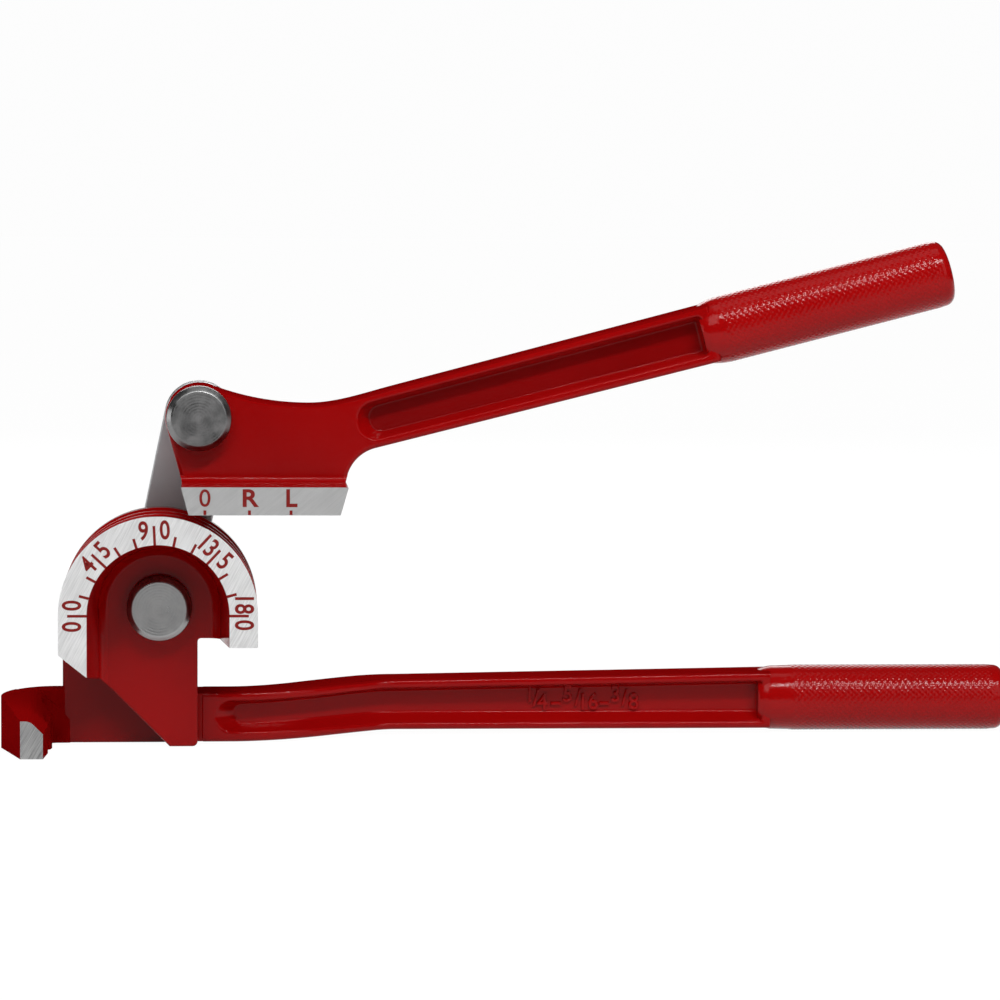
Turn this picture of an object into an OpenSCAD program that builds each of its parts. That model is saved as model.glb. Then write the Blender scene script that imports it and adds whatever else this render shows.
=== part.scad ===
// Hand tube bender for three tube sizes: a grooved forming wheel with a hook and a
// handle in one casting, and a second casting with a grooved shoe and a handle, which
// swings round the wheel on a flat link. Millimetres, X along the fixed handle, Y to
// the back, Z up, bench at Z = 0, wheel axis above the origin.

/* [Tubes] */
// Diameter of the small tube, a quarter of an inch
tube_small = 6.35; // [5:0.05:7]
// Diameter of the middle tube, five sixteenths of an inch
tube_middle = 7.94; // [7:0.02:9]
// Diameter of the large tube, three eighths of an inch
tube_large = 9.53; // [9:0.02:10.5]
// Extra diameter of each groove over its tube
groove_play = 0.2; // [0.1:0.05:0.5]
// Thickness of the lands between the grooves
land_t = 1.2; // [0.8:0.1:2]

/* [Forming wheel] */
// Bend radius, from the wheel axis to the tube's centre line and to the flange edge
bend_r = 23.8; // [22:0.1:27]
// Height of the wheel axis above the bench
axle_h = 34.3; // [31:0.1:38]
// Thickness of the dial flange in front of the small groove
dial_t = 1.5; // [1:0.1:3]
// Width of the ground dial band
dial_band = 6.8; // [6:0.1:8]
// Depth of the recess from the dial face to the web
recess_depth = 20.8; // [18:0.1:22]
// Narrowing of the recess from the dial face to the web
recess_draft = 2.5; // [0:0.1:3]
// Straight length of the left leg below the axis
left_leg = 9.4; // [7:0.1:11]
// Straight length of the right leg below the axis
right_leg = 7.7; // [5:0.1:10]

/* [Foot and back plate] */
// Distance of the foot's right edge from the axis
foot_right = 9.3; // [8.5:0.1:12]
// Width of the foot's flat on the bench
foot_flat = 6.8; // [4:0.1:9]
// Chamfer on the foot's right corner
foot_chamfer = 0.9; // [0.3:0.1:2]
// Thickness of the back plate
plate_t = 4.7; // [3.5:0.1:6]

/* [Tube hook] */
// Outer bend radius of the hook
hook_r = 13; // [11:0.1:14.5]
// Distance of the bend's centre from the plate's edge
hook_out = 1.6; // [0.8:0.1:3]
// Distance of the tip's inner face from the tubes' centre line
hook_tip_gap = 3.6; // [2.5:0.1:4.5]
// Distance of the root's inner face from the tubes' centre line
hook_root_gap = 1.5; // [0.8:0.1:2.5]
// Width of the tip's front face
hook_tip_w = 5.4; // [4:0.1:7]
// Height of the hook at its tip
hook_tip_h = 9.1; // [7:0.1:11]
// Height of the hook at the back plate
hook_root_h = 13.8; // [12:0.1:16]
// Lead-in chamfer along the hook's inner top edge
hook_chamfer = 2.6; // [1:0.1:3.5]

/* [Fixed handle] */
// Height of the bar at the foot
bar_root_h = 12.4; // [10:0.1:14]
// Height of the bar after its crank
bar_mid_h = 12.7; // [11:0.1:14]
// Height of the bar at the grip
bar_end_h = 14.3; // [12:0.1:15]
// Thickness of the bar
bar_t = 13; // [11:0.1:14]
// Distance from the axis to the start of the crank
crank_start = 17; // [13:0.5:22]
// How far the crank sets the handle back
crank_depth = 13; // [10:0.1:16]
// Steepest angle of the crank
crank_angle = 25.6; // [22:0.1:30]
// Radius of the crank's first bend, at the middle of the bar
crank_first_r = 46.5; // [36:0.5:50]
// Radius of the crank's second bend, at the middle of the bar
crank_second_r = 19.2; // [15:0.1:24]
// Length that the bar's root runs behind the back plate
root_run = 20; // [12:0.5:24]
// Distance from the axis to the bar's end at the grip
bar_end = 152; // [130:1:180]
// Width of the rails round the pockets in both bars
rail_w = 2.1; // [1.5:0.1:3]
// Depth of the pockets in both bars
pocket_depth = 4.2; // [2:0.1:4.8]
// Corner radius at the pockets' root ends
pocket_r = 3.6; // [1:0.1:4]

/* [Grips] */
// Radius of both grips
grip_r = 8.3; // [7.8:0.1:10]
// Length of both grips
grip_len = 62; // [50:0.5:80]
// Length of the shoulder between bar and grip
shoulder_len = 3; // [1:0.1:6]
// Radius of the shoulder's small end
shoulder_r = 7.4; // [6.5:0.1:7.7]
// Rounding of the grips' ends
grip_round = 2.6; // [1:0.1:5]

/* [Link] */
// Distance between the two pins
link_len = 47.2; // [46.9:0.1:49]
// Lean of the link to the right at rest
link_lean = 11.7; // [10.5:0.1:13]
// Half the link's width
link_r = 8.5; // [7:0.1:9.5]
// Thickness of the link
link_t = 4; // [3:0.1:5]

/* [Moving handle] */
// Distance of the shoe's grooved face below the shoe pin
shoe_drop = 22.1; // [21:0.1:22.3]
// Height of the shoe's front strip
shoe_t = 6.7; // [6:0.1:8]
// Distance of the shoe's right end from the shoe pin
shoe_reach = 35.8; // [30:0.1:37]
// Slope of the shoe's right end across its height
shoe_rake = 1.9; // [0:0.1:3]
// Clearance between the shoe's back and the back plate
shoe_back_gap = 0.35; // [0.3:0.05:1]
// Radius of the boss round the shoe pin
boss_r = 8.2; // [7:0.1:9]
// Lean of the neck's left edge
edge_lean = 15.6; // [10:0.1:18]
// Lean of the neck's right edge
heel_lean = 16; // [10:0.1:20]
// Radius of the fillet under the arm
heel_r = 9.5; // [6:0.1:11]
// Distance of the saddle's lowest point from the shoe pin
saddle_x = 26.9; // [24:0.1:29]
// Height of the saddle's lowest point above the shoe pin
saddle_h = 3.3; // [2:0.1:4]
// Angle round the boss, from its top, where the saddle begins
saddle_start = 20.7; // [10:0.1:30]
// Slope of the arm at rest
arm_lean = 14.6; // [10:0.1:18]
// Distance of the arm's centre line below the shoe pin
arm_offset = 11.3; // [10:0.1:13]
// Distance along the arm from the shoe pin to the bar's root section
arm_root = 47.8; // [46:0.1:52]
// Distance along the arm from the shoe pin to the grip
arm_end = 126; // [110:0.5:150]
// Height of the arm at its root section
arm_root_h = 13.4; // [11:0.1:14.5]
// Height of the arm at the grip
arm_end_h = 14.4; // [12:0.1:15]
// Length of the moving bar's pocket to the left of the root section
arm_pocket_run = 10.8; // [6:0.1:12]
// Width of the relief behind the heel, which clears the fixed bar at a full bend
relief_w = 7.4; // [6:0.1:9]
// Height of the relief above the shoe's strip
relief_h = 10.5; // [9:0.1:12]

/* [Pins and washers] */
// Radius of both pins' shanks
pin_r = 4; // [3:0.05:4.5]
// Radial running clearance round the shanks
pin_play = 0.05; // [0.02:0.01:0.1]
// Clearance between moving flat faces
face_play = 0.1; // [0.05:0.05:0.3]
// Radius of the pins' heads
head_r = 7.9; // [6.5:0.1:8.1]
// Height of the pins' heads
head_t = 5; // [3:0.1:7]
// Bevel round the heads' faces
head_bevel = 1.2; // [0.3:0.1:2]
// Radius of the washers
washer_r = 7.2; // [6:0.1:8]
// Thickness of the friction washers in front of the link
friction_t = 0.5; // [0.3:0.1:1]
// Thickness of the washers behind the link
tail_washer_t = 1; // [0.6:0.1:2]
// Thickness of the retaining rings
ring_t = 0.8; // [0.5:0.1:1.2]
// Outer radius of the retaining rings
ring_r = 5.8; // [5.2:0.1:7]
// Half the angle of the retaining rings' opening
ring_open = 50; // [30:1:60]
// Depth of the ring grooves in the pins
ring_groove = 0.5; // [0.3:0.05:0.8]
// Length of the pins behind the rings
tail_len = 1; // [0.5:0.1:2]

/* [Hidden] */
$fn = 96;

enamel = [0.62, 0.03, 0.03];
steel = [0.66, 0.65, 0.63];
zinc = [0.55, 0.55, 0.54];

// Overshoot of every cut, so that no cut ends on a face
over = 1;

// Groove radii, from the dial to the back plate
groove_rs = [for (d = [tube_small, tube_middle, tube_large]) (d + groove_play) / 2];

// Depths of the layers, from the dial face to the back of the back plate
stack = dial_t + 2 * (groove_rs[0] + groove_rs[1] + groove_rs[2]) + 2 * land_t;
back_y = plate_t / 2;
plate_y = -plate_t / 2;
front_y = plate_y - stack;
web_y = front_y + recess_depth;
groove_ys = [
    front_y + dial_t + groove_rs[0],
    front_y + dial_t + 2 * groove_rs[0] + land_t + groove_rs[1],
    plate_y - groove_rs[2]
];

// Wheel and foot
recess_r = bend_r - dial_band;
web_recess_r = recess_r - recess_draft;
foot_left = foot_right - foot_flat;
leg_top = axle_h - right_leg;
leg_tip_x = -recess_r;
leg_tip_z = foot_left - leg_tip_x;

// Shoe pin at rest
pivot_x = link_len * sin(link_lean);
pivot_z = axle_h + link_len * cos(link_lean);

// Layers behind the castings
friction_y = back_y + face_play;
link_y = friction_y + friction_t;
tail_washer_y = link_y + link_t;
ring_y = tail_washer_y + tail_washer_t;
tail_y = ring_y + ring_t + tail_len;

// Crank of the fixed bar, along the middle of its thickness
bar_y = plate_y + bar_t / 2;
crank_ramp = (crank_depth - (crank_first_r + crank_second_r) * (1 - cos(crank_angle))) / sin(crank_angle);
ramp_start = [
    crank_start + crank_first_r * sin(crank_angle),
    bar_y + crank_first_r * (1 - cos(crank_angle))
];
ramp_end = ramp_start + crank_ramp * [cos(crank_angle), sin(crank_angle)];
second_centre = ramp_end + crank_second_r * [sin(crank_angle), -cos(crank_angle)];
crank_end = second_centre[0];
grip_y = bar_y + crank_depth;
// Straight pieces in each bend of the crank, in the heel and in each half of the saddle
curve_steps = 8;

// The bar's underside rises so that the bar ends on the grip's centre line
bar_lift = grip_r - bar_end_h / 2;

// Moving casting, from the shoe pin: face, strip and neck edges
face_z = -shoe_drop;
strip_z = face_z + shoe_t;
shoe_back_y = plate_y - shoe_back_gap;
strip_left = edge_x(strip_z);
arm_y = (web_y + back_y) / 2;
arm_half = [arm_root_h / 2, arm_end_h / 2];
arm_slope = atan((arm_half[1] - arm_half[0]) / (arm_end - arm_root));
under_lean = arm_lean - arm_slope;
top_lean = arm_lean + arm_slope;
top_root = arm_point(arm_root, arm_half[0]);

// How far the neck's corners lie inside the boss, as a share of its radius
boss_bite = 0.03;

// Fillet under the arm: tangent to the neck's right edge and to the arm's underside
heel_line = [shoe_reach, strip_z];
heel_dir = [sin(heel_lean), cos(heel_lean)];
heel_normal = [cos(heel_lean), -sin(heel_lean)];
under_point = arm_point(arm_root, -arm_half[0]);
under_normal = [-sin(under_lean), cos(under_lean)];
heel_run = (-heel_r - (heel_line + heel_r * heel_normal - under_point) * under_normal)
    / (heel_dir * under_normal);
heel_centre = heel_line + heel_run * heel_dir + heel_r * heel_normal;
heel_turn = 90 - heel_lean - under_lean;
heel_curve = [
    for (i = [0 : curve_steps])
        let (a = under_lean + heel_turn * i / curve_steps)
        heel_centre + heel_r * [-sin(a), cos(a)]
];

// X of the neck's left edge, a line that touches the boss, at a height from the pin
function edge_x(z) = -boss_r / cos(edge_lean) - z * tan(edge_lean);

// A point given along the arm and across it, as seen from the shoe pin
function arm_point(along, across) = [
    along * cos(arm_lean) - (across - arm_offset) * sin(arm_lean),
    along * sin(arm_lean) + (across - arm_offset) * cos(arm_lean)
];

// A point inside the boss near its edge, at an angle from its top
function on_boss(angle) = (1 - boss_bite) * boss_r * [sin(angle), cos(angle)];

// Points of a smooth curve from one point to just before another, with given slopes at both
function smooth_run(from, to, slope_from, slope_to) = [
    for (i = [0 : curve_steps - 1])
        let (t = i / curve_steps, u = 1 - t, run = to[0] - from[0])
        [from[0] + t * run,
         from[1] * u * u * (1 + 2 * t) + to[1] * t * t * (3 - 2 * t)
             + run * t * u * (u * slope_from - t * slope_to)]
];

// Plan of the cranked bar at an offset to the back of its middle, from left to right
function crank_line(offset) = concat(
    [for (i = [0 : curve_steps])
        let (a = crank_angle * i / curve_steps)
        [crank_start, bar_y + crank_first_r] + (crank_first_r - offset) * [sin(a), -cos(a)]],
    [for (i = [curve_steps : -1 : 0])
        let (a = crank_angle * i / curve_steps)
        second_centre + (crank_second_r + offset) * [-sin(a), cos(a)]],
    [[bar_end, grip_y + offset]]
);

function reversed(list) = [for (i = [len(list) - 1 : -1 : 0]) list[i]];

// Extrudes an outline seen from the front from one depth to another
module front_slab(y0, y1) {
    translate([0, y1, 0]) rotate([90, 0, 0]) linear_extrude(y1 - y0) children();
}

// A round bar along Y
module y_cylinder(x, z, y0, y1, r) {
    translate([x, y0, z]) rotate([-90, 0, 0]) cylinder(h = y1 - y0, r = r);
}

// The flange's half disc above the wheel axis
module half_disc(y0, y1) {
    intersection() {
        y_cylinder(0, axle_h, y0, y1, bend_r);
        translate([-bend_r - over, y0 - over, axle_h])
            cube([2 * (bend_r + over), y1 - y0 + 2 * over, bend_r + over]);
    }
}

// Half-round grooves round the top of the wheel and straight down both legs
module wheel_grooves() {
    for (i = [0 : 2]) {
        translate([0, 0, axle_h]) rotate([90, 0, 0])
            rotate_extrude(angle = 180) translate([bend_r, -groove_ys[i]]) circle(r = groove_rs[i]);
        for (x = [-bend_r, bend_r])
            translate([x, groove_ys[i], -over]) cylinder(h = axle_h + over, r = groove_rs[i]);
    }
}

// Recess behind the dial, open at the bottom, with drafted walls
module wheel_recess() {
    cut_y = front_y - over;
    cut_r = recess_r + over * recess_draft / recess_depth;
    translate([0, cut_y, axle_h]) rotate([-90, 0, 0])
        cylinder(h = web_y - cut_y, r1 = cut_r, r2 = web_recess_r);
    translate([0, 0, -over]) linear_extrude(axle_h + over)
        polygon([[-cut_r, cut_y], [cut_r, cut_y], [web_recess_r, web_y], [-web_recess_r, web_y]]);
}

module pin_bore(x, z) {
    y_cylinder(x, z, front_y - over, tail_y, pin_r + pin_play);
}

module forming_wheel() {
    color(enamel) difference() {
        union() {
            half_disc(front_y, plate_y);
            front_slab(front_y, plate_y) polygon([
                [-bend_r, axle_h], [-bend_r, axle_h - left_leg], [leg_tip_x, leg_tip_z],
                [foot_left, 0], [foot_right - foot_chamfer, 0], [foot_right, foot_chamfer],
                [foot_right, leg_top], [bend_r, leg_top], [bend_r, axle_h]
            ]);
        }
        wheel_recess();
        wheel_grooves();
        pin_bore(0, axle_h);
    }
}

module back_plate() {
    color(enamel) difference() {
        union() {
            half_disc(plate_y, back_y);
            front_slab(plate_y, back_y) polygon([
                [-bend_r, axle_h], [-bend_r, 0], [foot_right - foot_chamfer, 0], [foot_right, foot_chamfer],
                [foot_right, leg_top], [bend_r, leg_top], [bend_r, axle_h]
            ]);
        }
        pin_bore(0, axle_h);
    }
}

// The hook grows from the plate's left edge, bends forward and ends in a ground tip.
// Its inner face has a seat for each tube, and its top falls towards the tip.
module tube_hook() {
    bend_x = -bend_r - hook_out;
    bend_y = back_y - hook_r;
    tip_x = -bend_r - hook_tip_gap;
    root_x = -bend_r - hook_root_gap;
    fall = (hook_root_h - hook_tip_h) / (plate_y - front_y);
    color(enamel) difference() {
        intersection() {
            linear_extrude(hook_root_h + hook_r) union() {
                intersection() {
                    translate([bend_x, bend_y]) circle(r = hook_r);
                    translate([bend_x - hook_r - over, bend_y]) square(hook_r + over);
                }
                polygon([
                    [bend_x - hook_r, bend_y], [tip_x - hook_tip_w, front_y], [tip_x, front_y],
                    [root_x, plate_y], [-bend_r, plate_y], [-bend_r, back_y], [bend_x, back_y]
                ]);
            }
            rotate([90, 0, 90]) translate([0, 0, bend_x - 2 * hook_r]) linear_extrude(3 * hook_r) polygon([
                [front_y, 0], [back_y, 0],
                [back_y, hook_root_h + fall * plate_t], [front_y, hook_tip_h]
            ]);
        }
        for (i = [0 : 2])
            translate([-bend_r, groove_ys[i], -over]) cylinder(h = hook_root_h + hook_r, r = groove_rs[i]);
        translate([tip_x - hook_chamfer, front_y, hook_tip_h]) rotate([atan(fall), 0, 0]) rotate([0, 45, 0])
            translate([0, -over, 0]) cube([4 * hook_chamfer, stack + over, 2 * hook_chamfer]);
    }
}

// Side view of the fixed bar, inset by a margin
module bar_side(margin, left, right) {
    polygon([
        [left, margin], [crank_start, margin], [crank_end, bar_lift + margin], [right, bar_lift + margin],
        [right, bar_lift + bar_end_h - margin], [crank_end, bar_lift + bar_mid_h - margin],
        [crank_start, bar_root_h - margin], [left, bar_root_h - margin]
    ]);
}

// The bar's pocket seen from the side, with a round root end
module bar_pocket_side() {
    left = foot_right + 2 * rail_w;
    round_r = min(pocket_r, bar_root_h / 2 - rail_w);
    intersection() {
        bar_side(rail_w, foot_right, bar_end - rail_w);
        union() {
            translate([left + round_r, 0]) square([bar_end, bar_lift + bar_end_h]);
            for (z = [rail_w + round_r, bar_root_h - rail_w - round_r])
                translate([left + round_r, z]) circle(r = round_r);
            translate([left, rail_w + round_r]) square([2 * round_r, bar_root_h - 2 * rail_w - 2 * round_r]);
        }
    }
}

// The fixed bar lies behind the foot, runs on behind the back plate as a wedge, and
// cranks back so that the moving handle can pass in front of it
module fixed_bar() {
    tall = bar_end_h + bar_lift;
    back_line = crank_line(bar_t / 2);
    front_line = crank_line(-bar_t / 2);
    color(enamel) difference() {
        intersection() {
            linear_extrude(tall) polygon(concat(
                [[foot_right, plate_y]], front_line, reversed(back_line),
                [[foot_right, bar_y + bar_t / 2], [foot_right - root_run, back_y], [foot_right, back_y]]
            ));
            front_slab(plate_y, grip_y + bar_t) bar_side(0, foot_right - root_run, bar_end);
        }
        for (side = [-1, 1])
            intersection() {
                linear_extrude(tall) polygon(concat(
                    [[foot_right, bar_y + side * (bar_t / 2 + over)]],
                    crank_line(side * (bar_t / 2 + over)),
                    reversed(crank_line(side * (bar_t / 2 - pocket_depth))),
                    [[foot_right, bar_y + side * (bar_t / 2 - pocket_depth)]]
                ));
                front_slab(plate_y - 2 * over, grip_y + bar_t) bar_pocket_side();
            }
    }
}

// A grip along X, with a shoulder at the bar and a rounded end
module grip() {
    end_x = grip_len - grip_round;
    rotate([0, 90, 0]) rotate_extrude() union() {
        polygon([
            [0, 0], [shoulder_r, 0], [grip_r, shoulder_len], [grip_r, end_x],
            [grip_r - grip_round, grip_len], [0, grip_len]
        ]);
        translate([grip_r - grip_round, end_x]) intersection() {
            circle(r = grip_round);
            square(grip_round);
        }
    }
}

module fixed_grip() {
    color(enamel) translate([bar_end, grip_y, grip_r]) grip();
}

// The shoe: a flat bar across the wheel's width with three half-round grooves below
module bend_shoe() {
    color(enamel) difference() {
        translate([pivot_x, 0, pivot_z]) front_slab(front_y, shoe_back_y) polygon([
            [strip_left, strip_z], [edge_x(face_z), face_z],
            [shoe_reach - shoe_rake, face_z], [shoe_reach, strip_z]
        ]);
        for (i = [0 : 2])
            translate([pivot_x - shoe_reach, groove_ys[i], pivot_z + face_z]) rotate([0, 90, 0])
                cylinder(h = 3 * shoe_reach, r = groove_rs[i]);
    }
}

// The moving bar's pocket seen from the front, with a round root end
module arm_pocket() {
    left = arm_root - arm_pocket_run;
    round_r = min(pocket_r, arm_half[0] - rail_w);
    low = arm_half[0] - rail_w;
    high = arm_half[1] - rail_w;
    right = arm_end - rail_w;
    translate([pivot_x, pivot_z]) rotate(arm_lean) translate([0, -arm_offset]) {
        polygon([
            [left + round_r, -low], [arm_root, -low], [right, -high],
            [right, high], [arm_root, low], [left + round_r, low]
        ]);
        for (side = [-1, 1])
            translate([left + round_r, side * (low - round_r)]) circle(r = round_r);
        translate([left, round_r - low]) square([2 * round_r, 2 * (low - round_r)]);
    }
}

// The neck rises from the shoe to the boss of the shoe pin, and the arm runs from it
// to the grip between the fillet under it and the saddle over it
module moving_arm() {
    saddle = [saddle_x, saddle_h];
    color(enamel) difference() {
        union() {
            y_cylinder(pivot_x, pivot_z, web_y, back_y, boss_r);
            translate([pivot_x, 0, pivot_z]) front_slab(web_y, back_y) polygon(concat(
                [[0, 0]],
                smooth_run(on_boss(saddle_start), saddle, -tan(saddle_start), 0),
                smooth_run(saddle, top_root, 0, tan(top_lean)),
                [top_root, arm_point(arm_end, arm_half[1]), arm_point(arm_end, -arm_half[1]), under_point],
                heel_curve,
                [heel_line, [strip_left, strip_z], on_boss(-90 - edge_lean)]
            ));
        }
        front_slab(web_y - over, web_y + pocket_depth) arm_pocket();
        front_slab(back_y - pocket_depth, back_y + over) arm_pocket();
        translate([pivot_x + shoe_reach - relief_w, shoe_back_y, pivot_z + strip_z - over])
            cube([3 * relief_w, back_y - shoe_back_y + over, relief_h + over]);
        pin_bore(pivot_x, pivot_z);
    }
}

module moving_grip() {
    color(enamel) translate([pivot_x, arm_y, pivot_z]) rotate([0, -arm_lean, 0])
        translate([arm_end, 0, -arm_offset]) grip();
}

// Flat bar with round ends that carries the shoe pin round the wheel pin
module link_plate() {
    ends = [[0, axle_h], [pivot_x, pivot_z]];
    across = link_r * [cos(link_lean), -sin(link_lean)];
    color(zinc) difference() {
        union() {
            for (end = ends)
                y_cylinder(end[0], end[1], link_y, tail_washer_y, link_r);
            front_slab(link_y, tail_washer_y)
                polygon([ends[0] - across, ends[0] + across, ends[1] + across, ends[1] - across]);
        }
        pin_bore(0, axle_h);
        pin_bore(pivot_x, pivot_z);
    }
}

// Turned pin: bevelled head, plain shank and a groove for the retaining ring
module pin(x, z) {
    head_y = web_y - face_play - head_t;
    color(steel) translate([x, head_y, z]) rotate([-90, 0, 0]) rotate_extrude() polygon([
        [0, 0], [head_r - head_bevel, 0], [head_r, head_bevel], [head_r, head_t], [pin_r, head_t],
        [pin_r, ring_y - head_y], [pin_r - ring_groove, ring_y - head_y],
        [pin_r - ring_groove, ring_y + ring_t - head_y], [pin_r, ring_y + ring_t - head_y],
        [pin_r, tail_y - head_y], [0, tail_y - head_y]
    ]);
}

// Plain washer on a pin
module washer(x, z, y, thickness) {
    color(zinc) difference() {
        y_cylinder(x, z, y, y + thickness, washer_r);
        pin_bore(x, z);
    }
}

// Open ring that snaps into a pin's groove
module retaining_ring(x, z) {
    inner_r = pin_r - ring_groove + pin_play;
    half_open = inner_r * sin(ring_open);
    color(steel) difference() {
        y_cylinder(x, z, ring_y, ring_y + ring_t, ring_r);
        y_cylinder(x, z, ring_y - over, ring_y + ring_t + over, inner_r);
        translate([x - half_open, ring_y - over, z - 2 * ring_r])
            cube([2 * half_open, ring_t + 2 * over, 2 * ring_r]);
    }
}

module wheel_pin() { pin(0, axle_h); }
module shoe_pin() { pin(pivot_x, pivot_z); }
module wheel_friction_washer() { washer(0, axle_h, friction_y, friction_t); }
module shoe_friction_washer() { washer(pivot_x, pivot_z, friction_y, friction_t); }
module wheel_tail_washer() { washer(0, axle_h, tail_washer_y, tail_washer_t); }
module shoe_tail_washer() { washer(pivot_x, pivot_z, tail_washer_y, tail_washer_t); }
module wheel_retaining_ring() { retaining_ring(0, axle_h); }
module shoe_retaining_ring() { retaining_ring(pivot_x, pivot_z); }

forming_wheel();
back_plate();
tube_hook();
fixed_bar();
fixed_grip();
bend_shoe();
moving_arm();
moving_grip();
link_plate();
wheel_pin();
shoe_pin();
wheel_friction_washer();
shoe_friction_washer();
wheel_tail_washer();
shoe_tail_washer();
wheel_retaining_ring();
shoe_retaining_ring();
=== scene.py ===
from math import atan2, cos, pi, radians, sin, sqrt, tan

import bmesh
import bpy
from mathutils import Matrix, Vector


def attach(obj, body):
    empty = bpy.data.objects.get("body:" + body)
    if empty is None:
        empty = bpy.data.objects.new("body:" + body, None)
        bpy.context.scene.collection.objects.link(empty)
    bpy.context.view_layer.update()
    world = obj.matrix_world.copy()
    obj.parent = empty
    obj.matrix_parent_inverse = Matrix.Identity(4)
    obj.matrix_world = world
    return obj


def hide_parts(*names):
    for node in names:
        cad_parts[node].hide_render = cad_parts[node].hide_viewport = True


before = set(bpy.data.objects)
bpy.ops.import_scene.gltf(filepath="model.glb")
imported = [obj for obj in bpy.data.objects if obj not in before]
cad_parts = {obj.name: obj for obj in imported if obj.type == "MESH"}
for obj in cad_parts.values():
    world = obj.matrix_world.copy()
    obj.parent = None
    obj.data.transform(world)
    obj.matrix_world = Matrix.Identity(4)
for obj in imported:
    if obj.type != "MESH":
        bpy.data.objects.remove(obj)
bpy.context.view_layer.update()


# The forming wheel is the head of the fixed casting: a half ring with three tube
# grooves and a leg at each side. It is die cast, dipped in red enamel, and its front
# face is then ground bare, which leaves the dial.

# Lengths are in millimetres, as in the drawing, until a mesh becomes a piece
wheel_r = 23.8
axis_z = 34.3
dial_y = -30.67
plate_front_y = -2.35
plate_back_y = 2.35
web_y = -9.87
recess_r = 17.0
web_recess_r = 14.5
tube_grooves = ((-7.215, 4.865), (-17.35, 4.07), (-25.895, 3.275))
left_leg_z = 24.9
leg_tip_z = 19.5
right_leg_z = 26.6
foot_x = 2.5
web_r = 18.0
# Small overlap with the plate, and how far the ring reaches in behind the web
plate_lap = 0.5
ring_tuck = 4.0
# Depth by which the ground faces lie behind the marks on them
grind_depth = 0.03


class Signal:
    """A socket in a material, so that shader maths reads as arithmetic."""

    def __init__(self, tree, socket):
        self.tree, self.socket = tree, socket

    def node(self, kind, settings=None, **inputs):
        made = self.tree.nodes.new("ShaderNode" + kind)
        for name, value in (settings or {}).items():
            setattr(made, name, value)
        for name, value in inputs.items():
            # in0, in1 and so on are sockets by number, and other names are socket names
            key = int(name[2:]) if name[:2] == "in" and name[2:].isdigit() else name.replace("_", " ")
            socket = made.inputs[key]
            if isinstance(value, Signal):
                self.tree.links.new(value.socket, socket)
            else:
                socket.default_value = value
        return made

    def maths(self, operation, *values):
        inputs = {"in%d" % i: v for i, v in enumerate(values)}
        return self.take(self.node("Math", {"operation": operation}, **inputs), 0)

    def take(self, made, output):
        return Signal(self.tree, made.outputs[output])

    def __add__(self, other):
        return self.maths("ADD", self, other)

    def __radd__(self, other):
        return self.maths("ADD", other, self)

    def __mul__(self, other):
        return self.maths("MULTIPLY", self, other)

    def __rmul__(self, other):
        return self.maths("MULTIPLY", other, self)

    def mix(self, low, high):
        """A colour between two, with this value as the factor."""
        made = self.node("Mix", {"data_type": "RGBA"}, in0=self, in6=(*low, 1.0), in7=(*high, 1.0))
        return self.take(made, 2)


def new_material(name):
    """A material with its shader, and the piece's own coordinates in metres."""
    material = bpy.data.materials.new(name)
    material.use_nodes = True
    tree = material.node_tree
    shader = tree.nodes["Principled BSDF"]
    place = Signal(tree, tree.nodes.new("ShaderNodeTexCoord").outputs["Object"])
    return material, shader, place


def drive(shader, **inputs):
    """Sets the shader's sockets to plain values, or links them."""
    for name, value in inputs.items():
        socket = shader.inputs[name.replace("_", " ")]
        if isinstance(value, Signal):
            value.tree.links.new(value.socket, socket)
        else:
            socket.default_value = value


def red_enamel_material(name, deep, thin, rough, shine):
    """Gloss enamel, dipped: a faint orange peel, and drifts of thicker paint."""
    material, shader, place = new_material(name)
    drift = place.take(place.node("TexNoise", in0=place, Scale=55.0, Detail=3.0), "Fac")
    peel = place.take(place.node("TexNoise", in0=place, Scale=1900.0, Detail=2.0), "Fac")
    shade = drift.mix((deep, 0.0012, 0.0016), (thin, 0.0020, 0.0022))
    bump = place.node("Bump", Strength=rough, Distance=0.0002, Height=peel)
    drive(shader, Base_Color=shade, Roughness=0.08 + 0.06 * drift, Specular_IOR_Level=shine,
          Normal=place.take(bump, "Normal"))
    return material


def ground_metal_material(name, dark, light, slope):
    """Bare die-cast metal with the strokes of a grinding belt at a slope."""
    material, shader, place = new_material(name)
    turned = place.node("Mapping", {"vector_type": "TEXTURE"}, Vector=place,
                        Rotation=(0.0, radians(-slope), 0.0), Scale=(0.010, 0.010, 0.0003))
    turned = place.take(turned, "Vector")
    fine = place.take(place.node("TexNoise", in0=turned, Scale=1.0, Detail=4.0, Roughness=0.7), "Fac")
    strokes = place.take(place.node("MapRange", in0=fine, in1=0.35, in2=0.65), 0)
    cloud = place.take(place.node("TexNoise", in0=place, Scale=160.0, Detail=3.0), "Fac")
    shade = (strokes * 0.7 + cloud * 0.3).mix((dark, dark, dark), (light, light, light))
    bump = place.node("Bump", Strength=0.25, Distance=0.00005, Height=strokes)
    drive(shader, Base_Color=shade, Metallic=0.75, Roughness=0.42 + 0.25 * strokes,
          Normal=place.take(bump, "Normal"))
    return material


red_enamel = red_enamel_material("red_enamel", deep=0.28, thin=0.34, rough=0.09, shine=0.11)
# The dial, the shoe's strip and the hook's tip are ground alike: the strip and the tip are painted darker
# than the dial, as painted shade
ground_dial = ground_metal_material("ground_dial", dark=0.64, light=0.96, slope=62)
ground_strip = ground_metal_material("ground_strip", dark=0.42, light=0.57, slope=40)
ground_tip = ground_metal_material("ground_tip", dark=0.16, light=0.52, slope=60)


def line_to(bm, pen, *points):
    """Draws straight edges from a vertex and gives the last vertex."""
    for point in points:
        pen = bmesh.ops.extrude_vert_indiv(bm, verts=[pen])["verts"][0]
        pen.co = point
    return pen


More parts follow.
